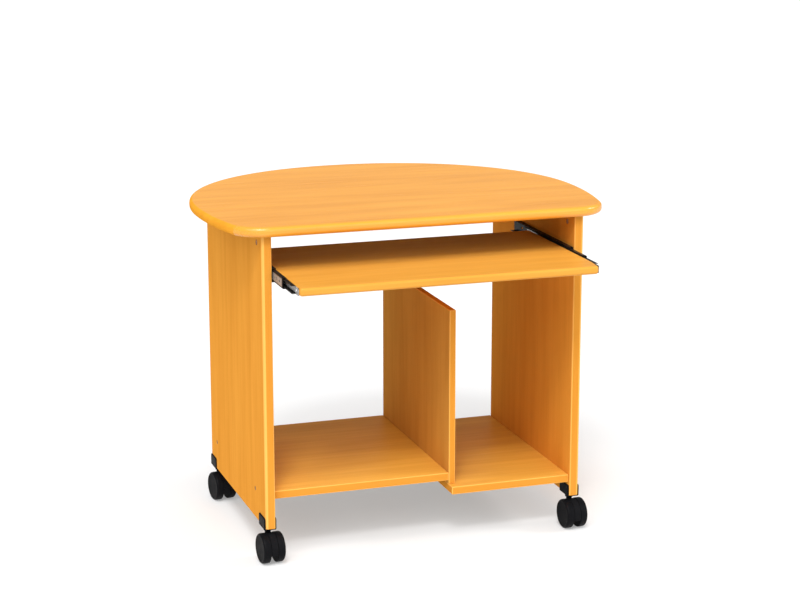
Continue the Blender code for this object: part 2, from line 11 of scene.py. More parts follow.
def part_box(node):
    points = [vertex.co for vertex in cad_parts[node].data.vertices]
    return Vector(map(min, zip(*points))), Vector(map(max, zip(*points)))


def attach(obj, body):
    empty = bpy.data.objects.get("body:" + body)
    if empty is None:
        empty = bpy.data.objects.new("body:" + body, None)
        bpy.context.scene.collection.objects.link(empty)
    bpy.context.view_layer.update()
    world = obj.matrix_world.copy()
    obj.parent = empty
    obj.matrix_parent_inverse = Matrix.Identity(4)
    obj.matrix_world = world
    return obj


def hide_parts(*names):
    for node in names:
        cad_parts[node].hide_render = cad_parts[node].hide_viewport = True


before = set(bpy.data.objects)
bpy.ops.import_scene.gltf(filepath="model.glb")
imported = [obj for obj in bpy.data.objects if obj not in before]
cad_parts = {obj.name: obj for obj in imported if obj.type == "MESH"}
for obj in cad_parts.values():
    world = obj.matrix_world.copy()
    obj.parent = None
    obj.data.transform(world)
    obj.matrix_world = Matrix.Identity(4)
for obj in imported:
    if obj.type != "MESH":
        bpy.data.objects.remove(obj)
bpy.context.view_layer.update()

# Side panels: upright chipboard boards with beech laminate on both faces, the grain upright, and a
# glued edge band round the rims. They are drilled for the shelf screws and the cam locks. The
# band's rounded corners are coloured lighter as a painted highlight.
SIDES = ("left", "right")
ENDS = ("front", "rear")
PANEL_ROUNDING = 0.0010
PANEL_POST_ROUNDING = 0.0040
PANEL_OUTER_ROUNDING = 0.0070
HOLE_SLACK = 0.0002
HOLE_RUN_OUT = 0.0010
SCREW_HEAD_DEPTH = 0.003
SCREW_SHAFT_RADIUS = 0.003
SCREW_WAYS = {
    "left_panel": Vector((1, 0, 0)),
    "right_panel": Vector((-1, 0, 0)),
    "partition": Vector((-1, 0, 0)),
    "cpu_shelf": Vector((0, 0, 1)),
}
CORNER_ANGLE = math.radians(60)
SHARP_ANGLE = math.radians(40)
FACE_ON = 0.7
POST_ROUND = 0.25
PAINTED_HIGHLIGHT_PLACE = 2

PANEL_PALE = (0.830, 0.360, 0.054)
PANEL_DEEP = (0.700, 0.275, 0.034)
BAND_PALE = (0.690, 0.292, 0.042)
BAND_DEEP = (0.610, 0.240, 0.028)
# Lighter colours for the rounded edges of the boards: a painted highlight.
EDGE_HIGHLIGHT_PALE = (0.880, 0.450, 0.105)
EDGE_HIGHLIGHT_DEEP = (0.820, 0.395, 0.080)
FIGURE_SCALE = (2.4, 26.0, 26.0)
FIBRE_SCALE = (3.0, 240.0, 240.0)
FLECK_SCALE = (130.0, 1100.0, 1100.0)
FLECK_STRENGTH = 0.30
FLECK_DEPTH = 0.5
NOISE_SPAN = (0.3, 0.7)
BEECH_RELIEF = 0.00012
GRAIN_UPRIGHT = (0.0, math.pi / 2, 0.0)
GRAIN_ACROSS = (0.0, 0.0, 0.0)


def add_node(tree, kind, inputs=None, **settings):
    """A shader node with its settings, and each input set to a value or linked to an output."""
    node = tree.nodes.new(kind)
    for name, value in settings.items():
        setattr(node, name, value)
    for key, value in (inputs or {}).items():
        if isinstance(value, bpy.types.NodeSocket):
            tree.links.new(value, node.inputs[key])
        else:
            node.inputs[key].default_value = value
    return node


def add_group(name, inputs):
    """An empty node group with these inputs that puts out a colour, a roughness and a height."""
    group = bpy.data.node_groups.new(name, "ShaderNodeTree")
    for label, kind in inputs.items():
        group.interface.new_socket(label, in_out="INPUT", socket_type=f"NodeSocket{kind}")
    for label, kind in (("Color", "Color"), ("Roughness", "Float"), ("Height", "Float")):
        group.interface.new_socket(label, in_out="OUTPUT", socket_type=f"NodeSocket{kind}")
    given = group.nodes.new("NodeGroupInput").outputs
    out = group.nodes.new("NodeGroupOutput").inputs
    return group, given, out


def stretched_noise(tree, vector, scale, detail, roughness):
    """Noise with its own scale along each axis."""
    spread = add_node(tree, "ShaderNodeMapping", {"Vector": vector, "Scale": scale})
    values = {"Vector": spread.outputs[0], "Scale": 1.0, "Detail": detail, "Roughness": roughness}
    return add_node(tree, "ShaderNodeTexNoise", values).outputs["Fac"]


def ramp(tree, value, span, new_span):
    """A value carried from one range to another, and held there."""
    limits = {0: value, 1: span[0], 2: span[1], 3: new_span[0], 4: new_span[1]}
    return add_node(tree, "ShaderNodeMapRange", limits).outputs[0]


def maths(tree, operation, first, second):
    """Two values added, subtracted or multiplied."""
    return add_node(tree, "ShaderNodeMath", {0: first, 1: second}, operation=operation).outputs[0]


def blended(tree, share, first, second, blend="MIX"):
    """Two colours blended by a share."""
    colours = {0: share, 6: first, 7: second}
    return add_node(tree, "ShaderNodeMix", colours, data_type="RGBA", blend_type=blend).outputs[2]


def beech_grain_group():
    """Beech along the vector's X: bands, fine fibres and the short dark flecks of its rays."""
    inputs = {"Vector": "Vector", "Pale": "Color", "Deep": "Color", "Matt": "Float"}
    group, given, out = add_group("beech_grain", inputs)
    bands = stretched_noise(group, given["Vector"], FIGURE_SCALE, detail=3.0, roughness=0.55)
    fibres = stretched_noise(group, given["Vector"], FIBRE_SCALE, detail=5.0, roughness=0.6)
    flecks = stretched_noise(group, given["Vector"], FLECK_SCALE, detail=1.0, roughness=0.4)
    fleck = ramp(group, flecks, (0.62, 0.74), (0.0, 1.0))
    band = ramp(group, bands, (0.32, 0.70), (0.0, 0.62))
    fibre = ramp(group, fibres, (0.30, 0.72), (0.0, 0.38))
    figure = blended(group, maths(group, "ADD", band, fibre), given["Pale"], given["Deep"])
    speckle = maths(group, "MULTIPLY", fleck, FLECK_STRENGTH)
    group.links.new(blended(group, speckle, figure, given["Deep"]), out["Color"])
    blur = maths(group, "ADD", given["Matt"], ramp(group, fibres, NOISE_SPAN, (-0.05, 0.06)))
    group.links.new(blur, out["Roughness"])
    relief = maths(group, "SUBTRACT", fibres, maths(group, "MULTIPLY", fleck, FLECK_DEPTH))
    group.links.new(relief, out["Height"])
    return group


beech_grain = beech_grain_group()


def dressed(name, group, inputs, relief, specular=0.5, metallic=0.0):
    """A material whose colour, roughness and fine relief come from a group."""
    material = bpy.data.materials.new(name)
    material.use_nodes = True
    tree = material.node_tree
    shader = tree.nodes["Principled BSDF"]
    surface = add_node(tree, "ShaderNodeGroup", inputs(tree), node_tree=group)
    height = {"Height": surface.outputs["Height"], "Distance": relief}
    bump = add_node(tree, "ShaderNodeBump", height)
    tree.links.new(surface.outputs["Color"], shader.inputs["Base Color"])
    tree.links.new(surface.outputs["Roughness"], shader.inputs["Roughness"])
    tree.links.new(bump.outputs[0], shader.inputs["Normal"])
    shader.inputs["Metallic"].default_value = metallic
    shader.inputs["Specular IOR Level"].default_value = specular
    return material


def beech(name, pale, deep, turn, offset, matt=0.45, specular=0.0):
    """Beech laminate, with the grain turned and shifted for this board."""

    def inputs(tree):
        place = add_node(tree, "ShaderNodeTexCoord").outputs["Object"]
        laid = {"Vector": place, "Location": offset, "Rotation": turn}
        grain = add_node(tree, "ShaderNodeMapping", laid).outputs[0]
        return {"Vector": grain, "Pale": (*pale, 1.0), "Deep": (*deep, 1.0), "Matt": matt}

    return dressed(name, beech_grain, inputs, BEECH_RELIEF, specular)


def solid_box(low, high):
    """A box between two corners."""
    low, high = Vector(low), Vector(high)
    bm = bmesh.new()
    bmesh.ops.create_cube(bm, size=1.0)
    bmesh.ops.scale(bm, vec=high - low, verts=bm.verts)
    bmesh.ops.translate(bm, vec=(low + high) / 2, verts=bm.verts)
    return bm


def run(edge, axis):
    """How far an edge runs along an axis."""
    return abs(edge.verts[0].co[axis] - edge.verts[1].co[axis])


def corner_edges(bm):
    """The edges where two faces of a shape meet at a corner."""
    return [edge for edge in bm.edges if edge.calc_face_angle(0) > CORNER_ANGLE]


def round_edges(bm, edges, radius, segments):
    """Round these edges of a shape."""
    bmesh.ops.bevel(
        bm,
        geom=list(edges),
        offset=radius,
        segments=segments,
        profile=0.5,
        affect="EDGES",
        clamp_overlap=True,
        material=-1,
    )


def turned(profile, place, direction, steps):
    """Spin a profile of (radius, distance) points about an axis that starts at a place."""
    bm = bmesh.new()
    points = [bm.verts.new((radius, 0, distance)) for radius, distance in profile]
    edges = [bm.edges.new(pair) for pair in zip(points, points[1:])]
    whole = {"cent": (0, 0, 0), "axis": (0, 0, 1), "angle": math.tau, "use_merge": True}
    bmesh.ops.spin(bm, geom=points + edges, steps=steps, **whole)
    bmesh.ops.remove_doubles(bm, verts=bm.verts, dist=1e-6)
    bmesh.ops.recalc_face_normals(bm, faces=bm.faces)
    turn = Vector((0, 0, 1)).rotation_difference(Vector(direction)).to_matrix().to_4x4()
    bmesh.ops.transform(bm, matrix=Matrix.Translation(place) @ turn, verts=bm.verts)
    return bm


def joined(shapes):
    """Several shapes in one bmesh."""
    whole = bmesh.new()
    for shape in shapes:
        mesh = bpy.data.meshes.new("part")
        shape.to_mesh(mesh)
        shape.free()
        whole.from_mesh(mesh)
        bpy.data.meshes.remove(mesh)
    return whole


def combined(bm, tool, operation):
    """One shape cut by another, or joined with it."""
    objects = []
    for label, shape in (("worked", bm), ("tool", tool)):
        mesh = bpy.data.meshes.new(label)
        shape.to_mesh(mesh)
        shape.free()
        objects.append(bpy.data.objects.new(label, mesh))
        bpy.context.scene.collection.objects.link(objects[-1])
    boolean = objects[0].modifiers.new("combined", "BOOLEAN")
    boolean.operation = operation
    boolean.object = objects[1]
    graph = bpy.context.evaluated_depsgraph_get()
    mesh = bpy.data.meshes.new_from_object(objects[0].evaluated_get(graph))
    result = bmesh.new()
    result.from_mesh(mesh)
    for old in [mesh] + [obj.data for obj in objects]:
        bpy.data.meshes.remove(old)
    return result


def add_piece(name, bm, body, materials, replaced=()):
    """A finished piece that rides on a body, shaded smooth but for its corners."""
    mesh = bpy.data.meshes.new(name)
    bm.to_mesh(mesh)
    bm.free()
    for material in materials:
        mesh.materials.append(material)
    mesh.shade_smooth()
    mesh.set_sharp_from_angle(angle=SHARP_ANGLE)
    obj = bpy.data.objects.new(name, mesh)
    bpy.context.scene.collection.objects.link(obj)
    even = obj.modifiers.new("even_shading", "WEIGHTED_NORMAL")
    even.keep_sharp = True
    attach(obj, body)
    if replaced:
        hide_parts(*replaced)
    return obj


def banded(bm, thin_axis):
    """Give the rims of a board, all but its two faces, the second material."""
    for face in bm.faces:
        face.material_index = int(abs(face.normal[thin_axis]) < FACE_ON)


def screw_place(joint, end):
    """Where a shelf screw's head starts, the way it points, its head's radius and its length."""
    low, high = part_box(f"{joint}_screw_{end}")
    way = SCREW_WAYS[joint]
    length = abs((high - low).dot(way))
    radius = (high.y - low.y) / 2
    return (low + high) / 2 - way * length / 2, way, radius, length


def screw_hole(joint, end):
    """The stepped hole that a shelf screw sits in."""
    head, way, radius, length = screw_place(joint, end)
    profile = [
        (0, -HOLE_RUN_OUT),
        (radius + HOLE_SLACK, -HOLE_RUN_OUT),
        (radius + HOLE_SLACK, SCREW_HEAD_DEPTH + HOLE_SLACK),
        (SCREW_SHAFT_RADIUS + HOLE_SLACK, SCREW_HEAD_DEPTH + HOLE_SLACK),
        (SCREW_SHAFT_RADIUS + HOLE_SLACK, length + HOLE_SLACK),
        (0, length + HOLE_SLACK),
    ]
    return turned(profile, head, way, steps=24)


def cam_hole(corner):
    """The hole through a panel that a cam barrel sits in."""
    low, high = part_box(f"{corner}_cam_barrel")
    radius = (high.z - low.z) / 2 + HOLE_SLACK
    start = Vector((low.x - HOLE_RUN_OUT, (low.y + high.y) / 2, (low.z + high.z) / 2))
    end = high.x - low.x + 2 * HOLE_RUN_OUT
    return turned([(0, 0), (radius, 0), (radius, end), (0, end)], start, (1, 0, 0), steps=32)


beech_panel = beech("beech_panel", PANEL_PALE, PANEL_DEEP, GRAIN_UPRIGHT, offset=(0.0, 0.31, 0.17))
beech_band_upright = beech(
    "beech_band_upright", BAND_PALE, BAND_DEEP, GRAIN_UPRIGHT, offset=(0.4, 0.1, 0.7)
)
beech_edge_painted_highlight = beech("beech_edge_painted_highlight", EDGE_HIGHLIGHT_PALE, EDGE_HIGHLIGHT_DEEP, GRAIN_UPRIGHT, offset=(0.1, 0.5, 0.3))
for side in SIDES:
    node = f"{side}_side_panel"
    panel = solid_box(*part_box(node))
    posts = [edge for edge in panel.edges if run(edge, 2) > HOLE_SLACK]
    outer_x = max((vert.co.x for vert in panel.verts), key=abs)
    outer_posts = [edge for edge in posts if abs(edge.verts[0].co.x - outer_x) < HOLE_SLACK]
    inner_posts = [edge for edge in posts if edge not in outer_posts]
    round_edges(panel, inner_posts, PANEL_POST_ROUNDING, segments=4)
    outer_posts = [edge for edge in outer_posts if edge.is_valid]
    round_edges(panel, outer_posts, PANEL_OUTER_ROUNDING, segments=7)
    round_edges(panel, corner_edges(panel), PANEL_ROUNDING, segments=3)
    holes = [screw_hole(f"{side}_panel", end) for end in ENDS]
    holes += [cam_hole(f"{end}_{side}") for end in ENDS]
    panel = combined(panel, joined(holes), "DIFFERENCE")
    banded(panel, 0)
    # Faces on the rounded posts take the lighter edge colour, a painted highlight.
    for face in panel.faces:
        if min(abs(face.normal.x), abs(face.normal.y)) > POST_ROUND:
            face.material_index = PAINTED_HIGHLIGHT_PLACE
    materials = [beech_panel, beech_band_upright, beech_edge_painted_highlight]
    add_piece(f"{side}_panel_board", panel, "frame", materials, [node])

# Shelves, partition and rail: thinner boards of the same laminate. The shelves, with a plain backing
# below, and the rail have their grain across the desk. The partition stands on the lower shelf. Its
# colour is darker as painted shade of the bay, and the boards' rounded edges are lighter as a
# painted highlight.
SHELF_ROUNDING = 0.0018
FLAT = 0.96
SQUARE = 0.97
BACKING_PLACE = 3
SHELF_PALE = (0.850, 0.450, 0.073)
SHELF_DEEP = (0.680, 0.308, 0.040)
BACKING_PALE = (0.430, 0.390, 0.350)
BACKING_DEEP = (0.380, 0.340, 0.300)
# The partition's colours are darker than the other boards': painted shade of the bay it stands in.
PARTITION_PAINTED_SHADE_PALE = (0.680, 0.340, 0.067)
PARTITION_PAINTED_SHADE_DEEP = (0.550, 0.250, 0.042)

beech_partition_painted_shade = beech(
    "beech_partition_painted_shade", PARTITION_PAINTED_SHADE_PALE, PARTITION_PAINTED_SHADE_DEEP, GRAIN_UPRIGHT, offset=(0.7, 0.6, 0.2)
)
beech_shelf = beech(
    "beech_shelf",
    SHELF_PALE,
    SHELF_DEEP,
    GRAIN_ACROSS,
    offset=(0.2, 0.05, 0.33),
    matt=0.40,
    specular=0.05,
)
beech_band_across = beech(
    "beech_band_across", BAND_PALE, BAND_DEEP, GRAIN_ACROSS, offset=(0.6, 0.2, 0.1)
)
plain_backing = beech(
    "plain_backing", BACKING_PALE, BACKING_DEEP, GRAIN_ACROSS, offset=(0.3, 0.3, 0.3)
)
level = [beech_shelf, beech_band_across, beech_edge_painted_highlight, plain_backing]
upright = [beech_partition_painted_shade, beech_band_upright, beech_edge_painted_highlight, plain_backing]
for node, thin_axis, materials, slot, joints in (
    ("left_shelf", 2, level, "beech_shelf", ["left_panel", "partition"]),
    ("cpu_shelf", 2, level, "beech_shelf", ["right_panel", "cpu_shelf"]),
    ("partition", 0, upright, "beech_side", ["partition", "cpu_shelf"]),
    ("back_rail", 1, level, "beech_shelf", []),
):
    board = solid_box(*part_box(node))
    round_edges(board, board.edges, SHELF_ROUNDING, segments=3)
    holes = [screw_hole(joint, end) for joint in joints for end in ENDS]
    if holes:
        board = combined(board, joined(holes), "DIFFERENCE")
    banded(board, thin_axis)
    # Rounded edges take the lighter edge colour, a painted highlight; the faces below take the
    # backing.
    for face in board.faces:
        if thin_axis == 2 and face.normal.z < -FLAT:
            face.material_index = BACKING_PLACE
        elif max(map(abs, face.normal)) < SQUARE:
            face.material_index = PAINTED_HIGHLIGHT_PLACE
    add_piece(f"{node}_board", board, "frame", materials, [node])

# Shelf screws: bronzed connector screws with a flat head and a hexagon socket. They are driven
# through the panels and the partition into the shelves' ends, and up through the lower shelf into
# the partition.
SCREW_EASE = 0.0006
SOCKET_RADIUS = 0.0024
SOCKET_DEPTH = 0.0022
ZINC = (0.60, 0.59, 0.57)
BRONZED_ZINC = (0.22, 0.11, 0.04)
STREAK_SCALE = (12.0, 1400.0, 1400.0)
BLOOM_SCALE = (60.0, 60.0, 60.0)
BLOOM_SHADE = (0.5, 0.5, 0.5, 1.0)
METAL_RELIEF = 0.00001
DRAWN_ALONG_DEPTH = (0.0, 0.0, math.pi / 2)


def rolled_metal_group():
    """Rolled or drawn metal along the vector's X: faint streaks and a cloudy bloom."""
    group, given, out = add_group("rolled_metal", {"Vector": "Vector", "Metal": "Color"})
    streaks = stretched_noise(group, given["Vector"], STREAK_SCALE, detail=3.0, roughness=0.5)
    bloom = stretched_noise(group, given["Vector"], BLOOM_SCALE, detail=4.0, roughness=0.6)
    shade = ramp(group, bloom, NOISE_SPAN, (0.0, 0.35))
    dulled = blended(group, shade, given["Metal"], BLOOM_SHADE, "MULTIPLY")
    group.links.new(dulled, out["Color"])
    streaky = ramp(group, streaks, NOISE_SPAN, (0.16, 0.26))
    cloudy = ramp(group, bloom, NOISE_SPAN, (0.0, 0.12))
    group.links.new(maths(group, "ADD", streaky, cloudy), out["Roughness"])
    group.links.new(streaks, out["Height"])
    return group


rolled_metal = rolled_metal_group()


def metal(name, colour, metallic=1.0, specular=0.5):
    """Sheet or turned metal, drawn along the desk's depth."""

    def inputs(tree):
        place = add_node(tree, "ShaderNodeTexCoord").outputs["Object"]
        laid = {"Vector": place, "Rotation": DRAWN_ALONG_DEPTH}
        drawn = add_node(tree, "ShaderNodeMapping", laid).outputs[0]
        return {"Vector": drawn, "Metal": (*colour, 1.0)}

    return dressed(name, rolled_metal, inputs, METAL_RELIEF, specular, metallic)


zinc = metal("bright_zinc", ZINC)
bronzed_zinc = metal("bronzed_zinc", BRONZED_ZINC, metallic=0.3, specular=0.05)
for joint in SCREW_WAYS:
    for end in ENDS:
        head, way, radius, length = screw_place(joint, end)
        profile = [
            (0, 0),
            (radius - SCREW_EASE, 0),
            (radius, SCREW_EASE),
            (radius, SCREW_HEAD_DEPTH - SCREW_EASE),
            (SCREW_SHAFT_RADIUS, SCREW_HEAD_DEPTH),
            (SCREW_SHAFT_RADIUS, length - SCREW_SHAFT_RADIUS),
            (0, length),
        ]
        screw = turned(profile, head, way, steps=24)
        socket = [
            (0, -HOLE_RUN_OUT),
            (SOCKET_RADIUS, -HOLE_RUN_OUT),
            (SOCKET_RADIUS, SOCKET_DEPTH),
            (0, SOCKET_DEPTH),
        ]
        screw = combined(screw, turned(socket, head, way, steps=6), "DIFFERENCE")
        node = f"{joint}_screw_{end}"
        add_piece(f"{node}_turned", screw, "frame", [bronzed_zinc], [node])

# Cam locks: a zinc barrel with a cross slot in each panel corner draws down a stud from the
# desktop. A brown plastic ring trims its hole on both faces of the panel.
CAM_EASE = 0.0005
CAM_SLOT = 0.0013
CAM_SLOT_REACH = 0.0036
CAM_SLOT_DEPTH = 0.0016
RING_WIDTH = 0.0013
RING_PROUD = 0.0005
RING_EASE = 0.0002
RING_COLOUR = (0.42, 0.15, 0.06)
RING_DUST = (0.34, 0.12, 0.05)
YELLOW_ZINC = (0.46, 0.24, 0.07)
SPARK_SCALE = (1500.0, 1500.0, 1500.0)
SMUDGE_SCALE = (45.0, 45.0, 45.0)
PLASTIC_RELIEF = 0.00003


def moulded_plastic_group():
    """Moulded plastic: a fine spark texture, soft smudges and a little dust."""
    inputs = {"Vector": "Vector", "Plastic": "Color", "Dust": "Color"}
    group, given, out = add_group("moulded_plastic", inputs)
    spark = stretched_noise(group, given["Vector"], SPARK_SCALE, detail=2.0, roughness=0.5)
    smudge = stretched_noise(group, given["Vector"], SMUDGE_SCALE, detail=4.0, roughness=0.6)
    dusty = ramp(group, smudge, (0.45, 0.80), (0.0, 0.5))
    group.links.new(blended(group, dusty, given["Plastic"], given["Dust"]), out["Color"])
    group.links.new(ramp(group, smudge, NOISE_SPAN, (0.34, 0.50)), out["Roughness"])
    group.links.new(spark, out["Height"])
    return group


moulded_plastic = moulded_plastic_group()


def plastic(name, colour, dust, specular):
    """Satin moulded plastic."""

    def inputs(tree):
        place = add_node(tree, "ShaderNodeTexCoord").outputs["Object"]
        return {"Vector": place, "Plastic": (*colour, 1.0), "Dust": (*dust, 1.0)}

    return dressed(name, moulded_plastic, inputs, PLASTIC_RELIEF, specular)


def cross_slot(centre, depth, reach, width):
    """The two boxes that cut a cross slot, with its depth along X."""
    boxes = []
    for half_y, half_z in ((reach, width / 2), (width / 2, reach)):
        half = Vector((depth, half_y, half_z))
        boxes.append(solid_box(centre - half, centre + half))
    return boxes


brown_plastic = plastic("brown_plastic", RING_COLOUR, RING_DUST, specular=0.0)
yellow_zinc = metal("yellow_zinc", YELLOW_ZINC, metallic=0.4, specular=0.10)
for side in SIDES:
    for end in ENDS:
        node = f"{end}_{side}_cam_barrel"
        low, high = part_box(node)
        middle = (low + high) / 2
        radius = (high.z - low.z) / 2
        width = high.x - low.x
        profile = [
            (0, 0),
            (radius - CAM_EASE, 0),
            (radius, CAM_EASE),
            (radius, width - CAM_EASE),
            (radius - CAM_EASE, width),
            (0, width),
        ]
        barrel = turned(profile, (low.x, middle.y, middle.z), (1, 0, 0), steps=32)
        for face_x in (low.x, high.x):
            centre = Vector((face_x, middle.y, middle.z))
            for cutter in cross_slot(centre, CAM_SLOT_DEPTH, CAM_SLOT_REACH, CAM_SLOT):
                barrel = combined(barrel, cutter, "DIFFERENCE")
        add_piece(f"{node}_slotted", barrel, "frame", [yellow_zinc], [node])
        panel_low, panel_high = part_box(f"{side}_side_panel")
        rim = radius + RING_WIDTH
        lip = radius + HOLE_SLACK
        profile = [
            (lip, 0),
            (rim, 0),
            (rim, RING_PROUD - RING_EASE),
            (rim - RING_EASE, RING_PROUD),
            (lip, RING_PROUD),
            (lip, 0),
        ]
        trims = []
        for face_x, way in ((panel_low.x, -1), (panel_high.x, 1)):
            trims.append(turned(profile, (face_x, middle.y, middle.z), (way, 0, 0), steps=32))
        add_piece(f"{end}_{side}_cam_trim", joined(trims), "frame", [brown_plastic])

# Desktop: a thick board with a round back and soft-formed edges, laminated in lighter beech with
# its grain across the desk and a plain backing below. The cam locks' studs hold it on the panels.
TOP_SIDE_RADIUS = 0.900
TOP_CORNER_RADIUS = 0.080
TOP_BACK_FULLNESS = 2.08
TOP_RIM_RADIUS = 0.009
NEARLY_ZERO = 0.001
TOP_PALE = (0.880, 0.390, 0.044)
TOP_DEEP = (0.680, 0.270, 0.023)
TOP_RIM_PALE = (0.830, 0.365, 0.036)
TOP_RIM_DEEP = (0.720, 0.285, 0.023)
TOP_GRAIN = (0.9, 0.4, 0.0)


def desktop_shape():
    """The top's outline, from half an oval and four spun arcs, with its thickness and round rims."""
    low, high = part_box("desktop")
    panel_low, panel_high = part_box("left_side_panel")
    widest = (panel_low.y + panel_high.y) / 2
    bm = bmesh.new()
    bmesh.ops.create_circle(bm, cap_ends=False, segments=160, radius=1.0)
    front_half = [vert for vert in bm.verts if vert.co.y < -NEARLY_ZERO]
    bmesh.ops.delete(bm, geom=front_half, context="VERTS")
    for vert in bm.verts:
        across = abs(vert.co.x) ** (2 / TOP_BACK_FULLNESS)
        back = max(vert.co.y, 0) ** (2 / TOP_BACK_FULLNESS)
        x = math.copysign(across * high.x, vert.co.x)
        vert.co = (x, widest + back * (high.y - widest), high.z)
    side_x = high.x - TOP_SIDE_RADIUS
    corner_y = low.y + TOP_CORNER_RADIUS
    reach = TOP_SIDE_RADIUS - TOP_CORNER_RADIUS
    corner_x = side_x + math.sqrt(reach**2 - (corner_y - widest) ** 2)
    meet = math.atan2(corner_y - widest, corner_x - side_x)
    ends = []
    for sign in (-1, 1):
        end = max(bm.verts, key=lambda vert: sign * vert.co.x)
        for centre, angle, steps in (
            ((sign * side_x, widest, 0), meet, 12),
            ((sign * corner_x, corner_y, 0), -math.pi / 2 - meet, 20),
        ):
            arc = {"cent": centre, "axis": (0, 0, 1), "angle": sign * angle, "steps": steps}
            spun = bmesh.ops.spin(bm, geom=[end], **arc)
            end = [item for item in spun["geom_last"] if isinstance(item, bmesh.types.BMVert)][0]
        ends.append(end)
    bm.edges.new(ends)
    bmesh.ops.edgeloop_fill(bm, edges=bm.edges)
    lower = bmesh.ops.extrude_face_region(bm, geom=bm.faces[:])["geom"]
    lower = [item for item in lower if isinstance(item, bmesh.types.BMVert)]
    bmesh.ops.translate(bm, vec=(0, 0, low.z - high.z), verts=lower)
    bmesh.ops.recalc_face_normals(bm, faces=bm.faces)
    round_edges(bm, corner_edges(bm), TOP_RIM_RADIUS, segments=6)
    return bm


beech_top = beech(
    "beech_top", TOP_PALE, TOP_DEEP, GRAIN_ACROSS, TOP_GRAIN, matt=0.22, specular=0.12
)
beech_top_front = beech(
    "beech_top_front", TOP_RIM_PALE, TOP_RIM_DEEP, GRAIN_ACROSS, TOP_GRAIN, matt=0.28, specular=0.55
)
beech_top_rim = beech("beech_top_rim", TOP_RIM_PALE, TOP_RIM_DEEP, GRAIN_ACROSS, TOP_GRAIN)
desktop = desktop_shape()
for face in desktop.faces:
    if face.normal.z < -FLAT:
        face.material_index = BACKING_PLACE
    elif face.normal.z < FLAT:
        face.material_index = 1 if face.normal.y < -abs(face.normal.x) / 2 else 2
materials = [beech_top, beech_top_front, beech_top_rim, plain_backing]
add_piece("desktop_board", desktop, "frame", materials, ["desktop"])

# Telescopic slides: rolled steel channels one inside the other, on ball cages. The outer one is black
# and screwed to the panel, the middle one ends in a black buffer, the inner one is on the tray. The
# flanges and web edges of the middle and inner ones are near black, for grease and as painted shade
# of the ball raceways.
SHEET = 0.0012
LIP = 0.0008
BEND = 0.0011
FIT = 0.0001
GREASE_AND_SHADE_BORDER = 0.0034
CUT_SPARE = 0.002
TONGUE_LENGTH = 0.022
TONGUE_SHEET = 0.0009
TONGUE_ROUNDING = 0.005
TONGUE_HOLE = 0.0175
HOLE_RADIUS = 0.0022
SLOT_LENGTH = 0.008
LATCH_LENGTH = 0.006
LATCH_RADIUS = 0.0008
LATCH_RISE = 0.0024
PAN_SHAFT_RADIUS = 0.0021
PAN_SHAFT_DEPTH = 0.0008
PAN_RADIUS = 0.0036
PAN_HEIGHT = 0.0023
PAN_DOME = ((0.0036, 0.0010), (0.0030, 0.0018), (0.0018, 0.0022))
PAN_SLOT = 0.0008
PAN_SLOT_REACH = 0.0016
PAN_SLOT_DEPTH = 0.0012
BLACK_COAT = (0.012, 0.012, 0.013)
# Near black for the flanges and the strips along the web's edges: grease, and painted shade of the
# raceways.
GREASE_AND_SHADE_STEEL = (0.016, 0.015, 0.014)
SLIDE_ZINC = (0.36, 0.35, 0.34)
BLACK = (0.008, 0.008, 0.009)
BLACK_DUST = (0.014, 0.014, 0.015)

# Each hole has its distance from the member's front end, length, radius and rise above the middle.
OUTER_HOLES = [(start, SLOT_LENGTH, HOLE_RADIUS, 0) for start in (0.035, 0.175, 0.301)]
MIDDLE_HOLES = [
    (0.0168, SLOT_LENGTH / 2, HOLE_RADIUS, 0),
    (0.040, LATCH_LENGTH, LATCH_RADIUS, LATCH_RISE),
    (0.044, LATCH_LENGTH, LATCH_RADIUS, -LATCH_RISE),
    (0.1544, SLOT_LENGTH, HOLE_RADIUS, 0),
]
INNER_HOLES = [(TONGUE_HOLE, 0, HOLE_RADIUS, 0)]
INNER_HOLES += [(start, SLOT_LENGTH, HOLE_RADIUS, 0) for start in (0.091, 0.245)]


def channel_shape(node, web_at_panel, lipped):
    """A rolled channel that fills a node's box, with rounded bends and lips where it has them."""
    low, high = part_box(node)
    on_left = high.x < 0
    web, opening = (low.x, high.x) if on_left == web_at_panel else (high.x, low.x)
    way = math.copysign(1, opening - web)
    middle = (low.z + high.z) / 2
    half = (high.z - low.z) / 2
    upper = [(web + way * SHEET, half - SHEET)]
    if lipped:
        inside = opening - way * SHEET
        upper += [(inside, half - SHEET), (inside, half - SHEET - LIP)]
        upper += [(opening, half - SHEET - LIP)]
    else:
        upper += [(opening, half - SHEET)]
    upper += [(opening, half), (web, half)]
    outline = upper + [(x, -z) for x, z in reversed(upper)]
    bm = bmesh.new()
    corners = [bm.verts.new((x, low.y, middle + z)) for x, z in outline]
    bm.faces.new(corners)
    outer = [vert for vert in corners if abs(vert.co.z - middle) > half - FIT]
    bends = [vert for vert in outer if abs(vert.co.x - web) < FIT]
    if lipped:
        bends += [vert for vert in outer if abs(vert.co.x - opening) < FIT]
    rounding = {"offset": BEND, "segments": 4, "profile": 0.5, "affect": "VERTICES", "material": -1}
    bmesh.ops.bevel(bm, geom=bends, **rounding)
    far = bmesh.ops.extrude_face_region(bm, geom=bm.faces[:])["geom"]
    far = [item for item in far if isinstance(item, bmesh.types.BMVert)]
    bmesh.ops.translate(bm, vec=(0, high.y - low.y, 0), verts=far)
    bmesh.ops.recalc_face_normals(bm, faces=bm.faces)
    return bm


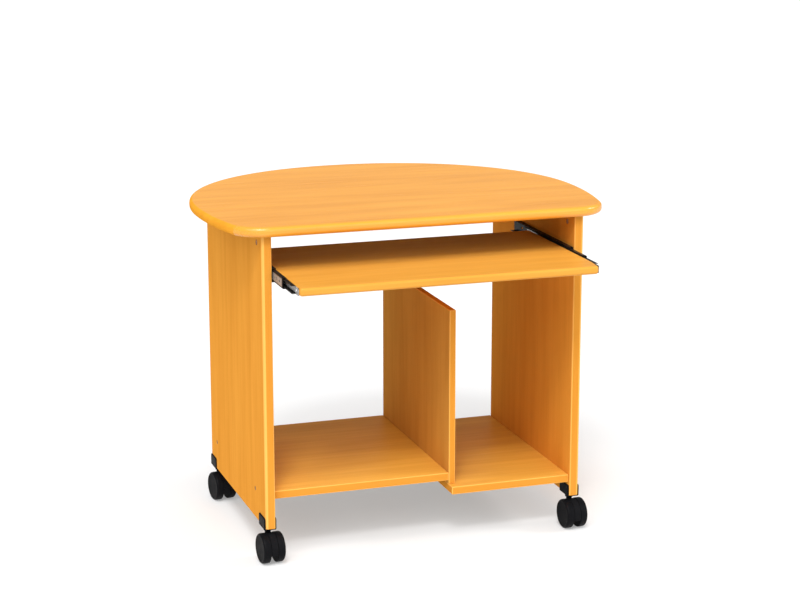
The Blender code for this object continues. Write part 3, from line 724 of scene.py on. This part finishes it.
def web_slot(node, from_front, length, radius, rise):
    """A cutter for a round or long hole through a channel's web."""
    low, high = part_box(node)
    depth = high.x - low.x + 2 * CUT_SPARE
    round_bar = {"cap_ends": True, "segments": 24, "radius1": radius, "radius2": radius}
    bm = bmesh.new()
    bmesh.ops.create_cone(bm, depth=depth, **round_bar)
    for vert in bm.verts:
        vert.co.y += math.copysign(length / 2, vert.co.y)
    turn = Matrix.Rotation(math.pi / 2, 4, "Y")
    middle_x = (low.x + high.x) / 2
    middle_z = (low.z + high.z) / 2
    place = Matrix.Translation((middle_x, low.y + from_front, middle_z + rise))
    bmesh.ops.transform(bm, matrix=place @ turn, verts=bm.verts)
    return bm


def with_tongue(bm, node):
    """A channel with its flanges cut back at its front end, where a round tongue of its web stays."""
    low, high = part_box(node)
    spare = Vector((CUT_SPARE, CUT_SPARE, CUT_SPARE))
    cut_low = low - spare
    cut_high = high + spare
    cut_high.y = low.y + TONGUE_LENGTH
    if high.x < 0:
        cut_high.x = high.x - TONGUE_SHEET
    else:
        cut_low.x = low.x + TONGUE_SHEET
    bm = combined(bm, solid_box(cut_low, cut_high), "DIFFERENCE")
    spare = Vector((CUT_SPARE, 0, FIT))
    block = solid_box(low - spare, high + spare + Vector((0, CUT_SPARE, 0)))
    front = [edge for edge in block.edges if all(vert.co.y < low.y + FIT for vert in edge.verts)]
    level = [edge for edge in front if run(edge, 2) < FIT]
    round_edges(block, level, TONGUE_ROUNDING, segments=6)
    return combined(bm, block, "INTERSECT")


def pan_head_screw(seat, way):
    """A pan-head screw with a cross slot, its head on a seat and facing a way along X."""
    profile = [
        (0, -PAN_SHAFT_DEPTH),
        (PAN_SHAFT_RADIUS, -PAN_SHAFT_DEPTH),
        (PAN_SHAFT_RADIUS, FIT),
        (PAN_RADIUS, FIT),
        *PAN_DOME,
        (0, PAN_HEIGHT),
    ]
    screw = turned(profile, seat, way, steps=24)
    for cutter in cross_slot(seat + way * PAN_HEIGHT, PAN_SLOT_DEPTH, PAN_SLOT_REACH, PAN_SLOT):
        screw = combined(screw, cutter, "DIFFERENCE")
    return screw


black_coat = metal("black_coat", BLACK_COAT, metallic=0.0, specular=0.03)
grease_and_shade_steel = metal("grease_and_shade_steel", GREASE_AND_SHADE_STEEL, metallic=0.0, specular=0.03)
slide_zinc = metal("slide_zinc", SLIDE_ZINC, metallic=0.35, specular=0.15)
black_plastic = plastic("black_plastic", BLACK, BLACK_DUST, specular=0.018)
coated = [black_coat, black_coat]
plated = [slide_zinc, grease_and_shade_steel]
for side in SIDES:
    for member, body, materials, slot, outward, holes in (
        ("outer", "frame", coated, "black_steel", True, OUTER_HOLES),
        ("middle", f"{side}_middle_member", plated, "zinc_steel", True, MIDDLE_HOLES),
        ("inner", "tray", plated, "zinc_steel", False, INNER_HOLES),
    ):
        node = f"{side}_slide_{member}"
        low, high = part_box(node)
        shape = channel_shape(node, outward, outward)
        middle = (low.z + high.z) / 2
        half_web = (high.z - low.z) / 2 - GREASE_AND_SHADE_BORDER
        for height in (middle - half_web, middle + half_web):
            whole = shape.verts[:] + shape.edges[:] + shape.faces[:]
            plane = {"plane_co": (0, 0, height), "plane_no": (0, 0, 1)}
            bmesh.ops.bisect_plane(shape, geom=whole, **plane)
        if not outward:
            shape = with_tongue(shape, node)
        cutters = [web_slot(node, *hole) for hole in holes]
        shape = combined(shape, joined(cutters), "DIFFERENCE")
        # The flanges and a strip along each edge of the web take the second material: grease and
        # painted shade.
        for face in shape.faces:
            face.material_index = int(abs(face.calc_center_median().z - middle) > half_web)
        add_piece(f"{node}_rolled", shape, body, materials, [node])
    low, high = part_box(f"{side}_slide_inner")
    way = Vector((math.copysign(1, low.x), 0, 0))
    seat_x = high.x - TONGUE_SHEET if low.x < 0 else low.x + TONGUE_SHEET
    seat = Vector((seat_x, low.y + TONGUE_HOLE, (low.z + high.z) / 2))
    screw = pan_head_screw(seat, way)
    add_piece(f"{side}_slide_front_screw", screw, "tray", [zinc])
    node = f"{side}_slide_buffer"
    body = f"{side}_middle_member"
    buffer = channel_shape(node, True, True)
    add_piece(f"{node}_moulded", buffer, body, [black_plastic], [node])

# Keyboard tray: a beech board with round front corners and a soft-formed front edge. The slides'
# inner members are screwed to its ends.
TRAY_CORNER_RADIUS = 0.008
TRAY_RIM_RADIUS = 0.006
TRAY_PALE = (0.770, 0.360, 0.056)
TRAY_DEEP = (0.640, 0.268, 0.033)


def tray_shape():
    """The tray's board: round front corners first, then the round front rim."""
    low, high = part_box("keyboard_tray")
    bm = solid_box(low, high)
    posts = [edge for edge in bm.edges if all(vert.co.y < low.y + FIT for vert in edge.verts)]
    posts = [edge for edge in posts if run(edge, 2) > FIT]
    round_edges(bm, posts, TRAY_CORNER_RADIUS, segments=6)
    corner_end = low.y + TRAY_CORNER_RADIUS + FIT
    rims = [edge for edge in corner_edges(bm) if all(vert.co.y < corner_end for vert in edge.verts)]
    rims = [edge for edge in rims if run(edge, 2) < FIT]
    round_edges(bm, rims, TRAY_RIM_RADIUS, segments=5)
    return bm


beech_tray = beech(
    "beech_tray",
    TRAY_PALE,
    TRAY_DEEP,
    GRAIN_ACROSS,
    offset=(0.1, 0.9, 0.6),
    matt=0.36,
    specular=0.14,
)
tray = tray_shape()
add_piece("keyboard_tray_board", tray, "tray", [beech_tray], ["keyboard_tray"])

# Casters: a black clip grips the panel's lower edge round the kingpin. The hood turns on the
# kingpin and fills the space between two solid wheels, which stand on the floor.
CASTER_TURNS = {"front_left": 4.0, "front_right": 2.0, "rear_left": 8.0, "rear_right": -6.0}
CASTER_TRAIL = 0.018
WHEEL_RADIUS = 0.0335
WHEEL_WIDTH = 0.017
WHEEL_GROOVE = 0.0280
WHEEL_RECESS = 0.0006
WHEEL_EDGE = 0.0050
WHEEL_EDGE_STEPS = 6
WHEEL_INNER_EDGE = 0.0016
WHEEL_INNER_STEPS = 3
WHEEL_GAP = 0.0006
HOOD_WIDTH = 0.015
HOOD_INSET = 0.0006
HOOD_OPENING = 0.0225
HOOD_EASE = 0.0004
NECK_RADIUS = 0.0065
COLLAR_RADIUS = 0.009
CLIP_ROUNDING = 0.0024
CLIP_CORNER_RADIUS = 0.005
CLIP_CUT_SPARE = 0.01
WHEEL_BLACK = (0.005, 0.005, 0.006)
WHEEL_DUST = (0.009, 0.009, 0.010)


def wheel_profile():
    """Half section of a wheel, from the middle of its outer face round the tread to its inner face."""
    face = [
        (0, WHEEL_WIDTH - WHEEL_RECESS),
        (WHEEL_GROOVE - 2 * WHEEL_RECESS, WHEEL_WIDTH - WHEEL_RECESS),
        (WHEEL_GROOVE - WHEEL_RECESS, WHEEL_WIDTH - WHEEL_RECESS / 4),
    ]
    shoulder = []
    for step in range(WHEEL_EDGE_STEPS + 1):
        turn = math.radians(90 * step / WHEEL_EDGE_STEPS)
        out = WHEEL_RADIUS - WHEEL_EDGE * (1 - math.sin(turn))
        shoulder.append((out, WHEEL_WIDTH - WHEEL_EDGE * (1 - math.cos(turn))))
    inside = []
    for step in range(WHEEL_INNER_STEPS + 1):
        turn = math.radians(90 * step / WHEEL_INNER_STEPS)
        out = WHEEL_RADIUS - WHEEL_INNER_EDGE * (1 - math.cos(turn))
        inside.append((out, WHEEL_INNER_EDGE * (1 - math.sin(turn))))
    return face + shoulder + inside + [(0, 0)]


def hood_shape(top):
    """The hood between the wheels: a round slice, cut off above the floor, with the neck on top."""
    radius = WHEEL_RADIUS - HOOD_INSET
    rim = [
        (0, 0),
        (radius - HOOD_EASE, 0),
        (radius, HOOD_EASE),
        (radius, HOOD_WIDTH - HOOD_EASE),
        (radius - HOOD_EASE, HOOD_WIDTH),
        (0, HOOD_WIDTH),
    ]
    bm = turned(rim, (-HOOD_WIDTH / 2, -CASTER_TRAIL, WHEEL_RADIUS), (1, 0, 0), steps=64)
    whole = bm.verts[:] + bm.edges[:] + bm.faces[:]
    cut_away = {"plane_co": (0, 0, HOOD_OPENING), "plane_no": (0, 0, -1), "clear_outer": True}
    cut = bmesh.ops.bisect_plane(bm, geom=whole, **cut_away)["geom_cut"]
    cut_loop = [item for item in cut if isinstance(item, bmesh.types.BMEdge)]
    bmesh.ops.edgeloop_fill(bm, edges=cut_loop)
    bmesh.ops.recalc_face_normals(bm, faces=bm.faces)
    shoulder = 2 * WHEEL_RADIUS + WHEEL_GAP
    neck = [
        (0, WHEEL_RADIUS),
        (NECK_RADIUS, WHEEL_RADIUS),
        (NECK_RADIUS, shoulder),
        (COLLAR_RADIUS - HOOD_EASE, shoulder),
        (COLLAR_RADIUS, shoulder + HOOD_EASE),
        (COLLAR_RADIUS, top - HOOD_EASE),
        (COLLAR_RADIUS - HOOD_EASE, top),
        (0, top),
    ]
    return combined(bm, turned(neck, (0, 0, 0), (0, 0, 1), steps=32), "UNION")


def wheel_shape(way):
    """A wheel on one side of the hood, with the second material on its tread."""
    start = (way * (HOOD_WIDTH / 2 + WHEEL_GAP), -CASTER_TRAIL, WHEEL_RADIUS)
    bm = turned(wheel_profile(), start, (way, 0, 0), steps=72)
    for face in bm.faces:
        middle = face.calc_center_median()
        out = math.hypot(middle.y + CASTER_TRAIL, middle.z - WHEEL_RADIUS)
        face.material_index = int(out > WHEEL_GROOVE)
    return bm


def clip_shape(node, panel_node):
    """A clip's block with round edges, in the second material, and the groove that the panel fills."""
    low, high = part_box(node)
    panel_low, panel_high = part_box(panel_node)
    bm = solid_box(low, high)
    across = [edge for edge in bm.edges if run(edge, 0) > FIT]
    upper = [edge for edge in across if edge.verts[0].co.z > high.z - FIT]
    round_edges(bm, upper, CLIP_CORNER_RADIUS, segments=5)
    round_edges(bm, corner_edges(bm), CLIP_ROUNDING, segments=3)
    groove_low = Vector((panel_low.x - HOLE_SLACK, low.y - CLIP_CUT_SPARE, panel_low.z - HOLE_SLACK))
    groove_high = Vector((panel_high.x + HOLE_SLACK, high.y + CLIP_CUT_SPARE, high.z + CLIP_CUT_SPARE))
    bm = combined(bm, solid_box(groove_low, groove_high), "DIFFERENCE")
    for face in bm.faces:
        face.material_index = int(max(map(abs, face.normal)) < SQUARE)
    return bm


def swivelled(bm, corner):
    """Move a caster's shape from its own axis to its corner, turned with the swivel."""
    low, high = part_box(f"{corner}_caster_kingpin")
    place = Matrix.Translation(((low.x + high.x) / 2, (low.y + high.y) / 2, 0))
    turn = Matrix.Rotation(math.radians(CASTER_TURNS[corner]), 4, "Z")
    bmesh.ops.transform(bm, matrix=place @ turn, verts=bm.verts)
    return bm


wheel_plastic = plastic("wheel_plastic", WHEEL_BLACK, WHEEL_DUST, specular=0.020)
tread_plastic = plastic("tread_plastic", WHEEL_BLACK, WHEEL_DUST, specular=0.050)
for corner in CASTER_TURNS:
    node = f"{corner}_caster_hood"
    body = f"{corner}_swivel"
    hood = swivelled(hood_shape(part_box(node)[1].z), corner)
    add_piece(f"{node}_moulded", hood, body, [black_plastic], [node])
    for side, way in zip(SIDES, (-1, 1)):
        node = f"{corner}_caster_{side}_wheel"
        body = f"{corner}_{side}_wheel"
        wheel = swivelled(wheel_shape(way), corner)
        materials = [wheel_plastic, tread_plastic]
        add_piece(f"{node}_moulded", wheel, body, materials, [node])
    node = f"{corner}_caster_clip"
    panel_side = corner.split("_")[1]
    clip = clip_shape(node, f"{panel_side}_side_panel")
    materials = [black_plastic, wheel_plastic]
    add_piece(f"{node}_moulded", clip, "frame", materials, [node])

# Pieces inside: the ball cages, kingpins, axles and cam studs are pressed or turned from steel and
# plated in bright zinc. Other pieces cover most of them, so they keep their CAD shapes.
for name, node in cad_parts.items():
    if name.endswith(("ball_cage", "kingpin", "axle", "cam_stud")):
        node.data.materials.clear()
        node.data.materials.append(zinc)

# Studio: a pale floor that glows a little, a white surround, and soft lights above, in front and
# at both sides of the desk.
FLOOR_SIZE = 80.0
FLOOR_COLOUR = (0.60, 0.60, 0.60)
FLOOR_MATT = 0.6
FLOOR_GLOW = 0.28
SURROUND = 0.38
WHITE = (1.0, 1.0, 1.0, 1.0)


def add_floor():
    """A wide square floor, which belongs to the stage."""
    bm = bmesh.new()
    bmesh.ops.create_grid(bm, x_segments=1, y_segments=1, size=FLOOR_SIZE / 2)
    mesh = bpy.data.meshes.new("studio_floor")
    bm.to_mesh(mesh)
    bm.free()
    material = bpy.data.materials.new("pale_floor")
    material.use_nodes = True
    shader = material.node_tree.nodes["Principled BSDF"]
    shader.inputs["Base Color"].default_value = (*FLOOR_COLOUR, 1.0)
    shader.inputs["Roughness"].default_value = FLOOR_MATT
    shader.inputs["Emission Color"].default_value = WHITE
    shader.inputs["Emission Strength"].default_value = FLOOR_GLOW
    mesh.materials.append(material)
    floor = bpy.data.objects.new("studio_floor", mesh)
    bpy.context.scene.collection.objects.link(floor)


def add_light(name, comes_from, strength, spread):
    """A wide, even light from one direction, with soft shadows."""
    light = bpy.data.lights.new(name, "SUN")
    light.energy = strength
    light.angle = math.radians(spread)
    obj = bpy.data.objects.new(name, light)
    obj.rotation_euler = Vector(comes_from).to_track_quat("Z", "Y").to_euler()
    bpy.context.scene.collection.objects.link(obj)


add_floor()
add_light("front_left_light", (-0.48, -0.53, 0.70), strength=1.6, spread=50.0)
add_light("left_key_light", (-0.26, -0.58, 0.78), strength=1.15, spread=12.0)
add_light("right_key_light", (0.82, -0.20, 0.50), strength=1.0, spread=14.0)
add_light("overhead_light", (-0.10, -0.26, 0.96), strength=0.75, spread=18.0)
add_light("low_front_light", (0.16, -0.88, 0.44), strength=0.70, spread=50.0)
world = bpy.data.worlds.new("studio_surround")
world.use_nodes = True
world.node_tree.nodes["Background"].inputs["Color"].default_value = WHITE
world.node_tree.nodes["Background"].inputs["Strength"].default_value = SURROUND
bpy.context.scene.world = world
bpy.context.scene.view_settings.view_transform = "Standard"

# Camera: a long lens at the left of the desk's front, higher than its top, looking a little down.
CAMERA_PLACE = (-1.433, -4.347, 1.6025)
CAMERA_PITCH = math.radians(13.4955)
CAMERA_YAW = math.radians(-18.56)
SENSOR_WIDTH = 36.0
FOCAL_LENGTH = 92.25

camera = bpy.data.cameras.new("studio_camera")
camera.sensor_width = SENSOR_WIDTH
camera.lens = FOCAL_LENGTH
viewpoint = bpy.data.objects.new("studio_camera", camera)
viewpoint.location = CAMERA_PLACE
viewpoint.rotation_euler = (math.pi / 2 - CAMERA_PITCH, 0, CAMERA_YAW)
bpy.context.scene.collection.objects.link(viewpoint)
bpy.context.scene.camera = viewpoint
